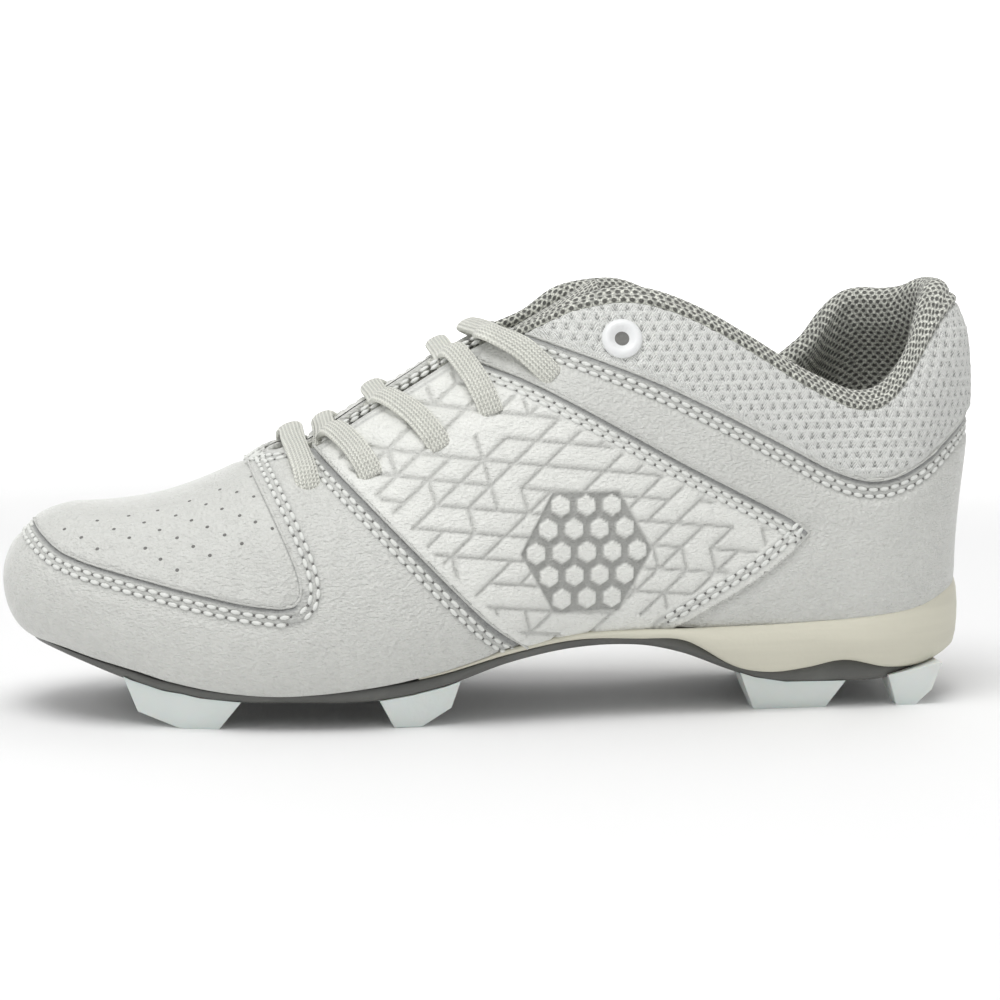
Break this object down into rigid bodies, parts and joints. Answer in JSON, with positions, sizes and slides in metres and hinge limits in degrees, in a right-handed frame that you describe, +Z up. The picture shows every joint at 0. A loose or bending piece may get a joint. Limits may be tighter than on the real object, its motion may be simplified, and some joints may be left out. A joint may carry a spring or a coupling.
{
  "type": "softball cleat",
  "caption": "Low-cut left softball cleat with moulded studs, laced throat, padded knit collar, foam midsole and overlay panels.",
  "frame": {"origin": "on the floor, under the middle of the shoe's bounding box", "axes": "+Z up, +X from the toe towards the heel, +Y towards the inner (medial) side of this left shoe"},
  "size_m": [0.2764, 0.0986, 0.1194],
  "materials": {
    "leather": "white synthetic leather, fine grain, satin",
    "foam": "cream moulded foam, matte",
    "plate": "silver-grey moulded plastic, satin",
    "stud": "pale moulded plastic, satin",
    "lining": "grey spacer mesh",
    "lace": "woven, off-white",
    "ring": "white plastic, satin"
  },
  "bodies": {
    "root": {"upper": "leather", "toe_wing": "leather", "saddle_counter": "leather", "outsole": "plate", "midsole": "foam", "insole": "lining", "tongue": "lining", "stud_fore_front_lateral": "stud", "stud_fore_front_medial": "stud", "stud_fore_rear_lateral": "stud", "stud_fore_rear_medial": "stud", "stud_heel_side_lateral": "stud", "stud_heel_side_medial": "stud", "stud_heel_back_lateral": "stud", "stud_heel_back_medial": "stud", "lace_bar_1": "lace", "lace_cross_1": "lace", "lace_cross_2": "lace", "lace_cross_3": "lace", "lace_cross_4": "lace", "collar_eyelet_lateral": "ring", "collar_eyelet_medial": "ring"}
  },
  "joints": []
}
